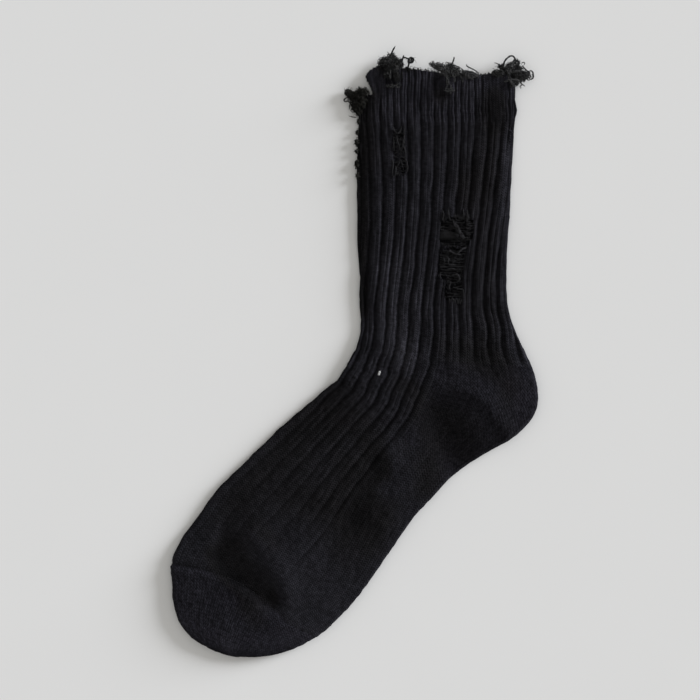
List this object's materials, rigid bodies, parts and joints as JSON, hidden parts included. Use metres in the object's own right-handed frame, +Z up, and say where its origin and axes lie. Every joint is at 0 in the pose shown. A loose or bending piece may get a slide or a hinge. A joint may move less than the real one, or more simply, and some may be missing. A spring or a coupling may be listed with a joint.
{
  "type": "holey crew sock",
  "caption": "Black ribbed crew sock lying flat on its side, with a raw frayed cuff and laddered holes down the leg.",
  "frame": {"origin": "on the surface that the sock lies on, under the middle of its bounding box", "axes": "+Y up the leg towards the cuff, +X towards the heel side, +Z up from the surface; the underside is at Z = 0"},
  "size_m": [0.1923, 0.3149, 0.0071],
  "materials": {
    "cuff_knit": "soft black cotton knit in a fine one-by-one rib, matt, slightly fuzzy",
    "rib_knit": "soft black cotton knit in wide raised ribs, matt with a faint nap",
    "plain_knit": "soft black cotton plain knit, matt, small stitches",
    "frayed_yarn": "loose black cotton and elastic yarn, frayed and fluffy"
  },
  "bodies": {
    "root": {"cuff": "cuff_knit", "leg": "rib_knit", "heel": "plain_knit", "foot": "rib_knit", "toe": "plain_knit", "fray_front": "frayed_yarn", "fray_middle": "frayed_yarn", "fray_back": "frayed_yarn", "fray_shin": "frayed_yarn"}
  },
  "joints": []
}
